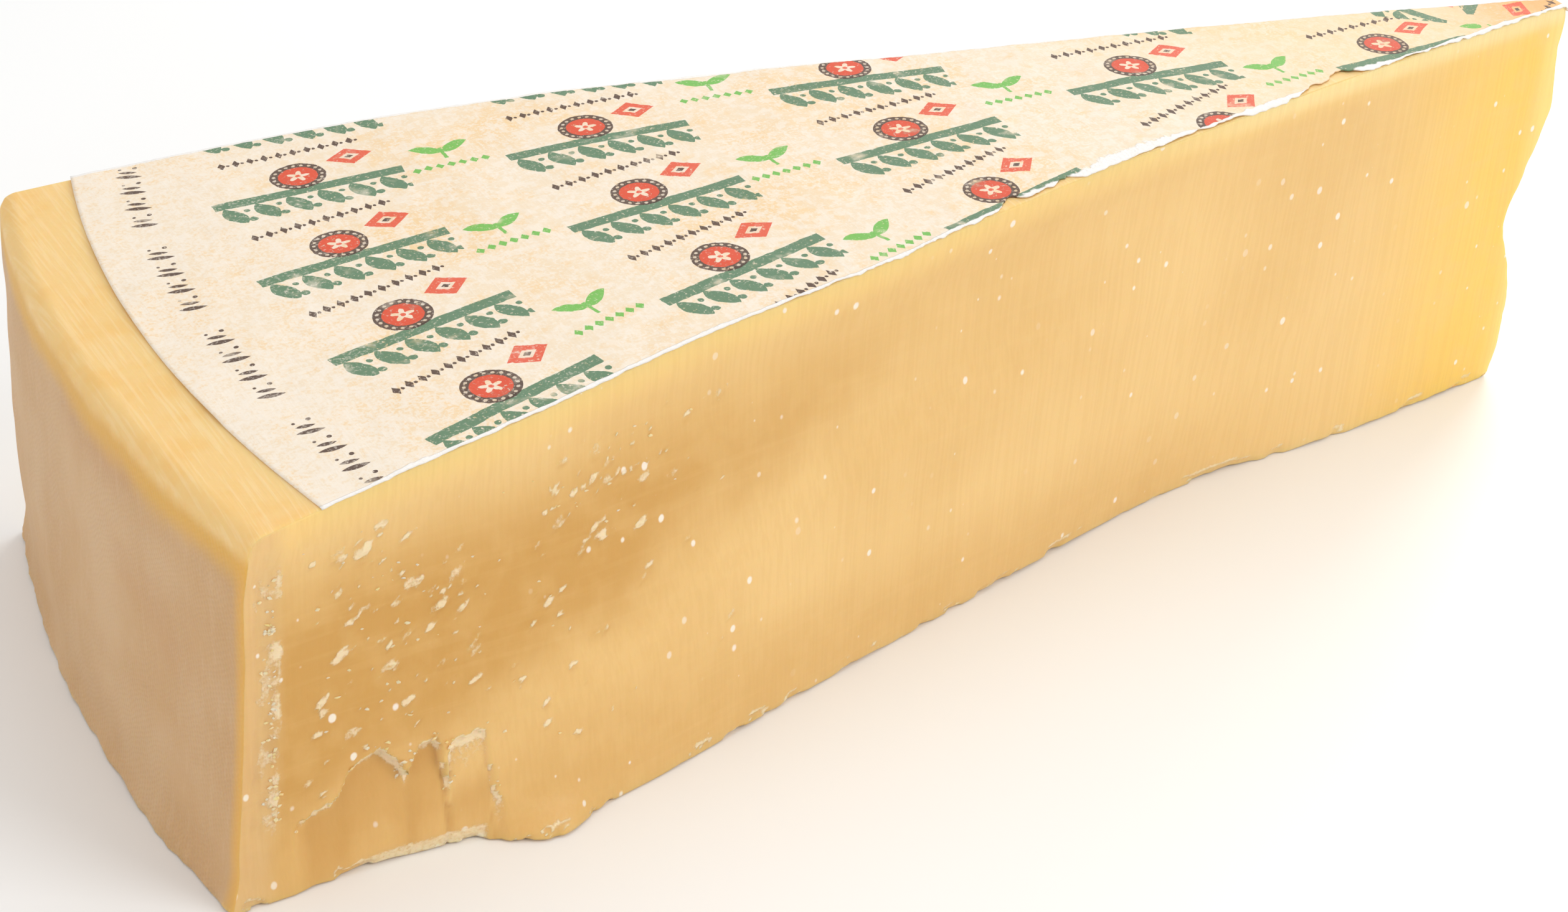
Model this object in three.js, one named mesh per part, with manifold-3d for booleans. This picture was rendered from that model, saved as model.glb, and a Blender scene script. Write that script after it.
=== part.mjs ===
// A wedge of hard mountain cheese, cut from the upper half of a large wheel that was split level
// at half its height. Two pieces: the wedge of cheese, rind included, and the paper label that is
// stuck on its top and was cut through together with it.
//
// Millimetres, +Z up. The wheel's axis is parallel to Z. The wedge points along +X, its rind
// faces -X, and it rests on its level underside at Z = 0. The origin is at the middle of the
// whole wedge's footprint.
import * as THREE from "three";
import { mergeVertices } from "three/addons/utils/BufferGeometryUtils.js";
import Module from "manifold-3d";

// Driving dimensions of the wheel.
const WHEEL_RADIUS = 282.3; // at the top of the side
const SPLIT_TO_CENTRE_TOP = 83.4; // from the level split to the top at the wheel's axis
const TOP_FALL = 16.8; // how far the domed top has fallen where it would meet the full radius
const RIM_ROUNDING = 5; // radius of the rounded upper rim
const FOOT_FLARE = 1.4; // how far the side stands out at the split, on the wedge's long axis
const FOOT_SKEW = 0.036; // how much more it stands out for each mm towards the near cut
const FLARE_POWER = 2.5; // how close to the split the flare keeps

// Driving dimensions of the wedge: its two knife cuts, as seen from above.
const NEAR_CUT_DEG = 11.6; // angle of each cut to the wedge's own long axis
const FAR_CUT_DEG = 10.7;
const TIP_REACH = 23; // how far the tip lies beyond the wheel's axis
const TIP_NEAR_Y = 2.7; // the two sides of the blunt tip
const TIP_WIDTH = 4.2;

// The cuts wander from their planes. Each swell is a smooth bump in the cut's surface: how far
// it stands out, how far behind the tip it lies, how far it spreads, and at which edge.
const NEAR_SWELLS = [
  { out: 9, behindTip: 242, spread: 34, edge: "bottom" },
  { out: 4.5, behindTip: 200, spread: 38, edge: "bottom" },
  { out: -5.5, behindTip: 92, spread: 38, edge: "bottom" },
  { out: -1.2, behindTip: 222, spread: 30, edge: "top" },
  { out: 1.5, behindTip: 180, spread: 26, edge: "top" },
];
const FAR_SWELLS = [
  { out: 8, behindTip: 230, spread: 76, edge: "top" },
  { out: 3, behindTip: 150, spread: 80, edge: "bottom" },
];

// The blunt tip's profile: how far each bump stands out of the tip's line, at which share of
// the height, and the share of the height that it spreads over.
const TIP_BUMPS = [
  { out: 2.6, at: 0.96, spread: 0.09 },
  { out: 3.8, at: 0.75, spread: 0.13 },
  { out: -5, at: 0.45, spread: 0.11 },
  { out: 1.4, at: 0.17, spread: 0.1 },
];

// The paper label, a disc that leaves the wheel's rim bare.
const BARE_RIM = 12.6;
const LABEL_THICKNESS = 0.3;
const LABEL_CLEARANCE = 0.3; // between the paper and the cheese

// Fineness of the curved surfaces.
const AROUND_THE_WHEEL = 180;
const DOME_RINGS = 14;
const ROUNDING_STEPS = 6;
const SIDE_STEPS = 6;
const CUT_STEPS_LONG = 44;
const CUT_STEPS_HIGH = 14;

const SPARE = 12; // how far the cutting block stands clear of the wheel

const wasm = await Module();
wasm.setup();

// A three.js geometry as a manifold-3d solid, with its shared vertices merged.
function solidOf(geometry) {
  geometry.deleteAttribute("normal");
  geometry.deleteAttribute("uv");
  const merged = mergeVertices(geometry, 1e-4);
  return new wasm.Manifold(
    new wasm.Mesh({
      numProp: 3,
      vertProperties: merged.attributes.position.array,
      triVerts: new Uint32Array(merged.index.array),
    }),
  );
}

function geometryOf(solid) {
  const mesh = solid.getMesh();
  const geometry = new THREE.BufferGeometry();
  geometry.setAttribute("position", new THREE.BufferAttribute(mesh.vertProperties, 3));
  geometry.setIndex(new THREE.BufferAttribute(mesh.triVerts, 1));
  geometry.computeVertexNormals();
  return geometry;
}

// A smooth bump, 1 in the middle and dying away to nothing.
const bump = (distance, spread) => Math.exp(-((distance / spread) ** 2));

// Height of the domed top above the split, at a distance from the wheel's axis.
const topHeight = (radius) => SPLIT_TO_CENTRE_TOP - TOP_FALL * (radius / WHEEL_RADIUS) ** 2;

const DOME_EDGE = WHEEL_RADIUS - RIM_ROUNDING; // where the dome ends and the rounding starts
const SIDE_TOP = topHeight(DOME_EDGE) - RIM_ROUNDING; // where the side ends and the rounding starts

// Outline of half the wheel, from the middle of the split round the side to the top's middle.
function wheelOutline() {
  const outline = [new THREE.Vector2(0, 0)];
  for (let i = 0; i < SIDE_STEPS; i++) {
    outline.push(new THREE.Vector2(WHEEL_RADIUS, (i / SIDE_STEPS) * SIDE_TOP));
  }
  const rounding = new THREE.EllipseCurve(
    DOME_EDGE, SIDE_TOP, RIM_ROUNDING, RIM_ROUNDING, 0, Math.PI / 2, false);
  outline.push(...rounding.getPoints(ROUNDING_STEPS));
  for (let i = DOME_RINGS - 1; i > 0; i--) {
    const radius = (DOME_EDGE * i) / DOME_RINGS;
    outline.push(new THREE.Vector2(radius, topHeight(radius)));
  }
  outline.push(new THREE.Vector2(0, SPLIT_TO_CENTRE_TOP));
  return outline;
}

// Outline of the label: a thin sheet that follows the dome at its clearance.
function labelOutline() {
  const labelRadius = WHEEL_RADIUS - BARE_RIM;
  const under = [];
  const over = [];
  for (let i = 0; i <= DOME_RINGS; i++) {
    const radius = (labelRadius * i) / DOME_RINGS;
    const underside = topHeight(radius) + LABEL_CLEARANCE;
    under.push(new THREE.Vector2(radius, underside));
    over.unshift(new THREE.Vector2(radius, underside + LABEL_THICKNESS));
  }
  return [...under, ...over];
}

// How far the side stands out beyond the wheel's radius, where it nears the split.
function footFlare(y, z) {
  const share = THREE.MathUtils.clamp(z / SIDE_TOP, 0, 1);
  return (FOOT_FLARE - FOOT_SKEW * y) * (1 - share) ** FLARE_POWER;
}

// LatheGeometry turns its outline round Y; the wheel stands round Z.
function turned(outline) {
  const geometry = new THREE.LatheGeometry(outline, AROUND_THE_WHEEL);
  geometry.rotateX(Math.PI / 2);
  const position = geometry.attributes.position;
  for (let i = 0; i < position.count; i++) {
    const [x, y, z] = [position.getX(i), position.getY(i), position.getZ(i)];
    const radius = Math.hypot(x, y);
    if (radius < 1) continue; // the middle of the split stays where it is
    const wider = 1 + footFlare(y, z) / radius;
    position.setXYZ(i, x * wider, y * wider, z);
  }
  return solidOf(geometry);
}

// How far a cut's swells stand out, at a place along the wedge and a share of its height.
function swellOf(swells, x, heightShare) {
  const share = { top: heightShare, bottom: 1 - heightShare };
  const each = ({ out, behindTip, spread, edge }) =>
    out * bump(x - (TIP_REACH - behindTip), spread) * share[edge];
  return swells.reduce((sum, swell) => sum + each(swell), 0);
}

function nearCutY(x, heightShare) {
  const slope = Math.tan(THREE.MathUtils.degToRad(NEAR_CUT_DEG));
  return TIP_NEAR_Y - slope * (TIP_REACH - x) - swellOf(NEAR_SWELLS, x, heightShare);
}

function farCutY(x, heightShare) {
  const slope = Math.tan(THREE.MathUtils.degToRad(FAR_CUT_DEG));
  const tipFarY = TIP_NEAR_Y + TIP_WIDTH;
  return tipFarY + slope * (TIP_REACH - x) + swellOf(FAR_SWELLS, x, heightShare);
}

// A block with the wedge's cut sides and blunt tip: what the knife left of the wheel.
function cutBlock() {
  const bottom = -SPARE;
  const top = SPLIT_TO_CENTRE_TOP + SPARE;
  const rindEnd = -WHEEL_RADIUS - SPARE;
  const block = new THREE.BoxGeometry(1, 1, 1, CUT_STEPS_LONG, 1, CUT_STEPS_HIGH);
  const position = block.attributes.position;
  for (let i = 0; i < position.count; i++) {
    const z = THREE.MathUtils.lerp(bottom, top, position.getZ(i) + 0.5);
    const heightShare = THREE.MathUtils.clamp(z / SPLIT_TO_CENTRE_TOP, 0, 1);
    const tipX = TIP_BUMPS.reduce(
      (x, { out, at, spread }) => x + out * bump(heightShare - at, spread), TIP_REACH);
    const x = THREE.MathUtils.lerp(rindEnd, tipX, position.getX(i) + 0.5);
    const cutY = position.getY(i) < 0 ? nearCutY : farCutY;
    position.setXYZ(i, x, cutY(x, heightShare), z);
  }
  return solidOf(block);
}

function namedMesh(name, solid, look) {
  const mesh = new THREE.Mesh(geometryOf(solid), new THREE.MeshStandardMaterial(look));
  mesh.name = name;
  return mesh;
}

const block = cutBlock();
const cheese = turned(wheelOutline()).intersect(block);
const label = turned(labelOutline()).intersect(block);

// The wedge is moved so that the origin lies at the middle of its footprint, on the split.
const box = cheese.boundingBox();
const wedge = new THREE.Group();
wedge.position.set(-(box.min[0] + box.max[0]) / 2, -(box.min[1] + box.max[1]) / 2, 0);
wedge.add(namedMesh("cheese_wedge", cheese, { color: 0xe4b878, roughness: 0.55, metalness: 0 }));
wedge.add(namedMesh("paper_label", label, { color: 0xeadfca, roughness: 0.85, metalness: 0 }));

const part = new THREE.Group();
part.add(wedge);

export default part;
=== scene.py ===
"""Looks of the cheese wedge: the cheese with its rind and knife cuts, and its paper label.

Lengths in the geometry code are millimetres about the wheel's axis (+X towards the tip, +Z up);
they become metres in the row frame when a mesh is made.
"""
import math

import bpy
import numpy as np
from mathutils import Matrix, Vector


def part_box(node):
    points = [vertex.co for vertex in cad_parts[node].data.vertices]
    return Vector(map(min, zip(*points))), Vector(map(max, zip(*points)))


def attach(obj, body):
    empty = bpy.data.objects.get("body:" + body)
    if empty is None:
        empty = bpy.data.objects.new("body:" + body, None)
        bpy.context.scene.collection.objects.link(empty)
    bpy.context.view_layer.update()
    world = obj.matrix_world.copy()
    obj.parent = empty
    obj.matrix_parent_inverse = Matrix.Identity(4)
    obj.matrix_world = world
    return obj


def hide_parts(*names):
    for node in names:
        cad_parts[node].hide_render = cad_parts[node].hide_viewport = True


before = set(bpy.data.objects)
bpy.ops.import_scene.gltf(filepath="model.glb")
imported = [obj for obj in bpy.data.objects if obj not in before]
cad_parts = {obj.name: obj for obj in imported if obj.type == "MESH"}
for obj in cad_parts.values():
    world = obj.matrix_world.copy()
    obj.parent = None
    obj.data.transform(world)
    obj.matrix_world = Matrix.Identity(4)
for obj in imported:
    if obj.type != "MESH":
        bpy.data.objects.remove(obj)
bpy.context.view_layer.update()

MM = 0.001
SEED = 20

# ---------------------------------------------------------------- the wheel and its cuts
WHEEL_RADIUS = 282.3
SPLIT_TO_CENTRE_TOP = 83.4
TOP_FALL = 16.8
RIM_ROUNDING = 3.5
FOOT_FLARE = 1.4
FOOT_SKEW = 0.036
FLARE_POWER = 2.5
TIP_REACH = 23.0
TIP_NEAR_Y = 2.7
TIP_WIDTH = 4.2
NEAR_SLOPE = math.tan(math.radians(11.6))
FAR_SLOPE = math.tan(math.radians(10.7))
BARE_RIM = 12.6

# Each swell: how far it stands out, how far behind the tip, how far it spreads, and its edge.
NEAR_SWELLS = (
    (9.0, 242, 34, "bottom"),
    (4.5, 200, 38, "bottom"),
    (-5.5, 92, 38, "bottom"),
    (-1.2, 222, 30, "top"),
    (1.5, 180, 26, "top"),
)
FAR_SWELLS = ((8.0, 230, 76, "top"), (3.0, 150, 80, "bottom"))
TIP_BUMPS = ((2.6, 0.96, 0.09), (3.8, 0.75, 0.13), (-5.0, 0.45, 0.11), (1.4, 0.17, 0.1))

DOME_EDGE = WHEEL_RADIUS - RIM_ROUNDING


def wheel_axis():
    """Where the wheel's axis stands in the row frame, in metres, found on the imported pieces."""
    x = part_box("paper_label")[0].x + (WHEEL_RADIUS - BARE_RIM) * MM
    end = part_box("cheese_wedge")[1].x
    places = [v.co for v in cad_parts["cheese_wedge"].data.vertices]
    corner = min((p for p in places if p.x > end - 2 * MM), key=lambda p: p.y)
    return x, corner.y - TIP_NEAR_Y * MM + NEAR_SLOPE * (TIP_REACH * MM - (corner.x - x))


AXIS_X, AXIS_Y = wheel_axis()


def bump(distance, spread):
    return np.exp(-((distance / spread) ** 2))


def smooth(low, high, value):
    """0 below low, 1 above high, and a smooth rise between."""
    t = np.clip((value - low) / (high - low), 0, 1)
    return t * t * (3 - 2 * t)


def top_height(radius):
    return SPLIT_TO_CENTRE_TOP - TOP_FALL * (radius / WHEEL_RADIUS) ** 2


def swell(swells, x, z):
    share = np.clip(z / SPLIT_TO_CENTRE_TOP, 0, 1)
    total = np.zeros_like(x)
    for out, behind_tip, spread, edge in swells:
        weight = share if edge == "top" else 1 - share
        total += out * bump(x - (TIP_REACH - behind_tip), spread) * weight
    return total


def near_cut(x, z):
    return TIP_NEAR_Y - NEAR_SLOPE * (TIP_REACH - x) - swell(NEAR_SWELLS, x, z)


def far_cut(x, z):
    return TIP_NEAR_Y + TIP_WIDTH + FAR_SLOPE * (TIP_REACH - x) + swell(FAR_SWELLS, x, z)


SIDE_TOP = top_height(DOME_EDGE) - RIM_ROUNDING


def foot_flare(y, z):
    """How far the side stands out beyond the wheel's radius, where it nears the split."""
    return (FOOT_FLARE - FOOT_SKEW * y) * (1 - np.clip(z / SIDE_TOP, 0, 1)) ** FLARE_POWER


def behind_rind(points):
    """How far each point lies inside the wheel's side."""
    x, y, z = points.T
    return WHEEL_RADIUS + foot_flare(y, z) - np.hypot(x, y)


def below_top(points):
    x, y, z = points.T
    return top_height(np.hypot(x, y)) - z


def along_x(x):
    """Points on the X axis, where noise varies only along the wedge."""
    return np.stack([x, 0 * x, 0 * x], -1)


def tip_x(z):
    share = z / SPLIT_TO_CENTRE_TOP
    return TIP_REACH + sum(out * bump(share - at, spread) for out, at, spread in TIP_BUMPS)


# ---------------------------------------------------------------- noise
_random = np.random.default_rng(SEED)
_TABLE = 256
_shuffle = np.concatenate([_random.permutation(_TABLE)] * 2)
_gradients = _random.normal(size=(_TABLE, 3))
_gradients /= np.linalg.norm(_gradients, axis=1)[:, None]


def noise(points, size, octaves=3, seed=0):
    """Gradient noise in about -1..1, with features of that size in millimetres."""
    total = np.zeros(len(points))
    strength = 1.0
    for octave in range(octaves):
        p = points / np.asarray(size) * 2**octave + 17.3 * (seed + 5 * octave)
        cell = np.floor(p).astype(int)
        f = p - cell
        u = f * f * f * (f * (f * 6 - 15) + 10)
        value = np.zeros(len(p))
        for corner in np.ndindex(2, 2, 2):
            c = (cell + corner) % _TABLE
            index = _shuffle[_shuffle[_shuffle[c[:, 0]] + c[:, 1]] + c[:, 2]]
            towards = np.einsum("ij,ij->i", _gradients[index], f - corner)
            weight = np.prod(np.where(np.array(corner) == 1, u, 1 - u), axis=1)
            value += weight * towards
        total += 1.6 * strength * value
        strength *= 0.5
    return total


# ---------------------------------------------------------------- the cheese's surface
def steps(length, sizes):
    """Places 0..1 along a length, with cell sizes given as (place in mm, size in mm) pairs."""
    places, cell = zip(*sizes)
    at = [0.0]
    while at[-1] < length:
        at.append(at[-1] + np.interp(at[-1], places, cell))
    at = np.array(at)
    return at / at[-1]


def path_at(points, share):
    """Points along a polyline, at shares of its length."""
    d = np.concatenate([[0], np.cumsum(np.linalg.norm(np.diff(points, axis=0), axis=1))])
    s = share * d[-1]
    return np.stack([np.interp(s, d, points[:, i]) for i in range(2)], -1)


def rounding(start, end):
    """Points on the rim's rounding between two angles, as (distance from the axis, height)."""
    t = np.radians(np.linspace(start, end, 24))
    return np.stack([DOME_EDGE + RIM_ROUNDING * np.cos(t), SIDE_TOP + RIM_ROUNDING * np.sin(t)], -1)


def side_path():
    side = np.array([(WHEEL_RADIUS, 0.0)])
    return np.concatenate([side, rounding(0, 45)])


def top_path():
    dome = np.linspace(DOME_EDGE, -tip_x(SPLIT_TO_CENTRE_TOP), 200)[1:]
    return np.concatenate([rounding(45, 90), np.stack([dome, top_height(dome)], -1)])


def section(a, c):
    """Distance from the axis and height of a place in the wedge's long section."""
    low = side_path()[0]
    tip_top = top_path()[-1]
    left = path_at(side_path(), c)
    top = path_at(top_path(), a)
    bottom = np.stack([low[0] + (-tip_x(0.0) - low[0]) * a, 0 * a], -1)
    tip_z = c * tip_top[1]
    right = np.stack([-tip_x(tip_z), tip_z], -1)
    a, c = a[:, None], c[:, None]
    corner_low = np.array([-tip_x(0.0), 0.0])
    corners = (1 - a) * (1 - c) * low + a * (1 - c) * corner_low
    corners = corners + (1 - a) * c * top_path()[0] + a * c * tip_top
    return (1 - a) * left + a * right + (1 - c) * bottom + c * top - corners


SETTLING_ROUNDS = 5  # x and y depend on each other, and settle in this many rounds


def place(a, b, c):
    """Positions in the wedge: a from rind to tip, b from near cut to far cut, c from split to top."""
    radius, z = section(a, c).T
    x = -radius
    near_rind = smooth(0.2, 0.7, radius / WHEEL_RADIUS)
    near_side = smooth(0.6, 1.0, radius / WHEEL_RADIUS)
    for _ in range(SETTLING_ROUNDS):
        near, far = near_cut(x, z), far_cut(x, z)
        y = near + (far - near) * b
        full = radius + near_side * foot_flare(y, z)
        arc = np.sqrt(np.maximum(full**2 - y**2, 1e-9))
        x = -full + near_rind * (full - arc)
    real_radius, planned = np.hypot(x, y), np.abs(radius)
    z = z * top_height(real_radius) / top_height(planned + (real_radius - planned) * near_rind)
    return np.stack([x, y, z], -1)


SIDES = ("rind", "tip", "near", "far", "bottom", "top")


def lattice(counts):
    """The quads on the surface of a box of cells: each quad's corners as (i, j, k), and its side."""
    quads, sides, grids = [], [], []
    for axis in range(3):
        p_axis, q_axis = [(1, 2), (0, 2), (0, 1)][axis]
        p, q = np.meshgrid(np.arange(counts[p_axis]), np.arange(counts[q_axis]), indexing="ij")
        p, q = p.ravel(), q.ravel()
        for end in (0, 1):
            ring = [(0, 0), (1, 0), (1, 1), (0, 1)]
            if (end == 0) != (axis == 1):
                ring.reverse()
            quad = np.zeros((len(p), 4, 3), int)
            for n, (dp, dq) in enumerate(ring):
                quad[:, n, axis] = end * counts[axis]
                quad[:, n, p_axis] = p + dp
                quad[:, n, q_axis] = q + dq
            quads.append(quad)
            sides.append(np.full(len(p), 2 * axis + end))
            grids.append((p_axis, q_axis))
    return np.concatenate(quads), np.concatenate(sides), grids


# Where each side of the cheese lies on its bake map: (left, bottom, width, height).
BAKE_PLACES = (
    (0.73, 0.02, 0.25, 0.18),
    (0.73, 0.24, 0.02, 0.18),
    (0.01, 0.01, 0.70, 0.19),
    (0.01, 0.22, 0.70, 0.19),
    (0.01, 0.43, 0.70, 0.27),
    (0.01, 0.72, 0.70, 0.27),
)


class Relief:
    """What the knife, the air and the crumbling did to a surface, and the masks that go with it."""

    def __init__(self, points):
        self.out = np.zeros(len(points))
        self.torn = np.zeros(len(points))
        # Painted shade in the hollows and under the torn flaps.
        self.pit_shade = np.zeros(len(points))

    def tear(self, amount, where=slice(None)):
        self.torn[where] = np.maximum(self.torn[where], amount)

    # Marks painted shade only; the surface itself is moved through out.
    def paint_shade(self, amount, where=slice(None)):
        self.pit_shade[where] = np.maximum(self.pit_shade[where], amount)


# The broken flake's jagged ledge on the near cut: how far behind the tip, and how high.
NEAR_LEDGE = (
    (292, 4), (291, 12), (285, 13.5), (281, 19), (277, 21), (273.5, 17.5), (272.5, 15),
    (270, 19), (267, 21), (266, 13), (265, 19), (259, 20), (258.5, 11), (257, 7),
)
FAR_LEDGE = ((233, 5), (231, 13), (224, 12), (220, 16), (216, 11), (212, 14), (206, 8), (205, 4))


def broken_flake(relief, x, z, ledge_points, depth, seed):
    """A flake that broke off under a jagged ledge, leaving a shell-like hollow."""
    behind, height = np.array(ledge_points, float).T
    at = TIP_REACH - behind
    ledge = np.interp(x, at, height) + 0.9 * noise(along_x(x), 2.4, 3, seed)
    within = smooth(at[0] - 0.7, at[0] + 4, x) * smooth(at[-1] + 0.7, at[-1] - 0.5, x)
    below = ledge - z
    inside = smooth(-0.4, 0.4, below) * within
    # The upper part of the last third broke off less deep, and is a paler torn facet.
    uneven = x + 0.8 * noise(np.stack([x, 0 * x, z], -1), 2.2, 2, seed)
    shallow = smooth(at[-1] - 9.5, at[-1] - 8.3, uneven) * smooth(13, 5, below)
    floor = depth * (1 - 0.75 * smooth(0, 17, below)) * (1 - 0.6 * shallow)
    relief.out -= floor * inside
    edge = smooth(-0.9, -0.1, below) * smooth(2.8, 0.6, below) * within
    relief.out += 0.25 * edge * (below < 0)
    relief.tear(1.05 * edge)
    relief.tear(0.42 * shallow * inside * smooth(11, 2, below))
    # Painted shade on the floor of the hollow under the ledge.
    relief.paint_shade(0.75 * inside * (1 - shallow) * smooth(0.5, 3, below) * smooth(19, 8, below))


def torn_strip(relief, points, seed):
    """The crumbling strip beside the rind, ending at an upright jagged ridge."""
    from_rind, z = behind_rind(points), points[:, 2]
    upright = points * (0, 0, 1)
    crack = 5.7 + 0.7 * noise(upright, 17, 3, seed)
    along = smooth(8, 15, z) * smooth(63, 56, z)
    beside = smooth(1.2, 2.2, from_rind) * smooth(0.3, -0.3, from_rind - crack) * along
    rough = noise(points, (2.4, 2.4, 3.4), 3, seed + 3)
    relief.out -= beside * (0.2 + 0.4 * np.clip(rough, -0.3, 1))
    width = 0.55 + 0.5 * np.clip(noise(upright, 7, 2, seed + 5) + 0.3, 0, 1.2)
    ridge = bump(np.maximum(from_rind - crack, -0.6 * (from_rind - crack)), width) * along
    broken = smooth(-0.25, 0.1, noise(upright, 6, 2, seed + 4))
    ragged = np.clip(0.75 + 0.5 * rough, 0, 1)
    relief.out += 0.4 * ridge * broken * ragged
    relief.tear(ridge * broken * ragged)
    relief.tear(0.55 * beside * smooth(0.0, 0.5, noise(points, (3, 3, 5), 3, seed + 7)))


def torn_flecks(relief, x, z, places, seed):
    """Small torn flaps. Each place: how far behind the tip, height, spread of both, and how many."""
    random = np.random.default_rng(seed)
    ragged = noise(np.stack([x, 0 * x, z], -1), 1.1, 2, seed)
    for behind, height, spread_x, spread_z, count in places:
        for _ in range(count):
            at_x = TIP_REACH - random.normal(behind, spread_x)
            at_z = random.normal(height, spread_z)
            long = 0.35 + random.uniform(0.0, 1.0) ** 2.5 * 1.5
            tall = long * random.uniform(0.4, 0.8)
            rise = random.uniform(0.0, 0.8)
            depth = random.uniform(0.08, 0.3)
            strength = random.uniform(0.45, 1.0)
            close = np.flatnonzero((np.abs(x - at_x) < 5) & (np.abs(z - at_z) < 5))
            along, up = x[close] - at_x, z[close] - at_z
            up = up - rise * along
            size = np.exp(-((along / long) ** 2) - (up / tall) ** 2) * (1 + 0.7 * ragged[close])
            flap = smooth(0.15, 0.85, size)
            under = smooth(0.3, 0.9, np.exp(-((along / long) ** 2) - ((up + 1.1 * tall) / tall) ** 2))
            relief.out[close] += depth * flap - 0.4 * depth * under * (1 - flap)
            relief.tear(flap * strength, close)
            # Painted shadow under each flap.
            relief.paint_shade(0.25 * under * (1 - flap), close)


def chipped_edge(relief, points, from_edge, reach, depth, seed):
    """An edge that crumbled away in places."""
    n = noise(points, (5, 5, 5), 3, seed)
    bite = smooth(0.05, 0.5, n) * reach
    inside = smooth(0.4, -0.4, from_edge - bite)
    relief.out -= depth * inside * np.clip(bite - from_edge, 0, None) / reach
    relief.tear(0.8 * bump(from_edge - bite, 0.6) * (bite > 0.3))


# Where flecks tore out of the cuts, in the order that torn_flecks reads.
NEAR_FLECKS = (
    (267, 43, 7, 6, 40), (277, 47, 5, 9, 30), (237, 55, 6, 3, 40), (283, 57, 4, 3, 14),
    (277, 31, 6, 5, 18), (270, 26, 7, 3, 14), (287, 30, 2, 7, 10), (250, 38, 10, 8, 24),
    (228, 63, 7, 2, 16), (238, 26, 14, 8, 14), (222, 50, 8, 5, 14),
)
FAR_FLECKS = ((262, 40, 9, 9, 26), (240, 22, 9, 6, 14), (190, 52, 12, 6, 12), (280, 30, 4, 12, 10))


LOBE_X = -226  # crumb squeezed out over the split
CHIP_X = (-263, -235.5)  # where the lower edge chipped off
CHIP_SLOPE = 0.05


def near_relief(points):
    x, z = points[:, 0], points[:, 2]
    r = Relief(points)
    r.out += 0.45 * noise(points, (60, 60, 26), 2, 1) + 0.05 * noise(points, (9, 9, 20), 2, 2)
    # The knife left a shallow hollow above a line that climbs from the split towards the tip.
    line = 17 + (x + 240) * 0.42 - 0.0012 * np.clip(x + 240, 0, None) ** 2
    r.out -= 1.7 * smooth(-8, 8, z - line) * smooth(0, 13, below_top(points)) * smooth(-60, -130, x)
    broken_flake(r, x, z, NEAR_LEDGE, 1.9, 11)
    torn_strip(r, points, 21)
    torn_flecks(r, x, z, NEAR_FLECKS, 31)
    r.out += 4.2 * bump(x - LOBE_X, 7.5) * bump(z, 4.2)
    chip = smooth(CHIP_X[0], CHIP_X[0] + 8, x) * smooth(CHIP_X[1], CHIP_X[1] - 1.5, x)
    over_chip = z - CHIP_SLOPE * (x - CHIP_X[0] - 1)
    r.out -= 1.1 * chip * smooth(3.6, -1.0, over_chip)
    r.tear(0.7 * chip * smooth(3.0, 1.4, over_chip))
    chipped_edge(r, points, z, 2.0, 0.8, 41)
    return r


def far_relief(points):
    x, z = points[:, 0], points[:, 2]
    r = Relief(points)
    r.out += 0.5 * noise(points, (70, 70, 30), 2, 51) + 0.06 * noise(points, (9, 9, 20), 2, 52)
    broken_flake(r, x, z, FAR_LEDGE, 1.4, 54)
    torn_strip(r, points, 57)
    torn_flecks(r, x, z, FAR_FLECKS, 61)
    chipped_edge(r, points, z, 2.0, 0.8, 64)
    return r


def rind_relief(points):
    r = Relief(points)
    z = points[:, 2]
    r.out += 0.4 * noise(points, (38, 38, 22), 3, 71) * smooth(SIDE_TOP + 6, SIDE_TOP - 6, z)
    # The level split left a ragged lip on the rind's lower edge.
    ragged = 0.5 + 0.5 * noise(points, (5, 5, 3), 3, 72)
    r.out += bump(z, 2.6) * np.clip(ragged, 0, 1.4) - 0.35 * bump(z - 6, 3)
    r.torn = 0.6 * bump(z, 1.6) * np.clip(ragged, 0, 1)
    return r


def top_relief(points):
    r = Relief(points)
    r.out += 0.2 * noise(points, (30, 30, 30), 2, 81)
    return r


def bottom_relief(points):
    r = Relief(points)
    r.out -= 0.5 * np.clip(noise(points, (14, 14, 14), 3, 91) + 0.2, 0, None)
    r.torn = 0.35 * smooth(0.2, 0.6, noise(points, (5, 5, 5), 3, 92))
    return r


def tip_relief(points):
    r = Relief(points)
    r.out += 0.5 * noise(points, (6, 6, 9), 3, 95)
    return r


RELIEFS = (rind_relief, tip_relief, near_relief, far_relief, bottom_relief, top_relief)


def outward(side, points):
    """The direction that a side's relief goes in, at each point."""
    x, y, z = points.T
    h = 0.5
    n = np.zeros_like(points)
    if side in ("near", "far"):
        cut, sign = (near_cut, -1) if side == "near" else (far_cut, 1)
        n[:, 0] = -sign * (cut(x + h, z) - cut(x - h, z)) / (2 * h)
        n[:, 1] = sign
        n[:, 2] = -sign * (cut(x, z + h) - cut(x, z - h)) / (2 * h)
    elif side == "rind":
        radius = np.hypot(x, y)
        up = np.clip((z - SIDE_TOP) / RIM_ROUNDING, 0, 1)
        n[:, 0] = x / radius * np.sqrt(1 - up**2)
        n[:, 1] = y / radius * np.sqrt(1 - up**2)
        n[:, 2] = up
    elif side == "tip":
        n[:, 0] = 1
    else:
        n[:, 2] = 1 if side == "top" else -1
    return n / np.linalg.norm(n, axis=1)[:, None]


EDGE_ROUNDING = 0.1
RELIEF_REACH = 7  # how deep into the neighbouring sides a side's relief is felt
LATTICE_LENGTHS = (305, 125, 84)


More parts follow.
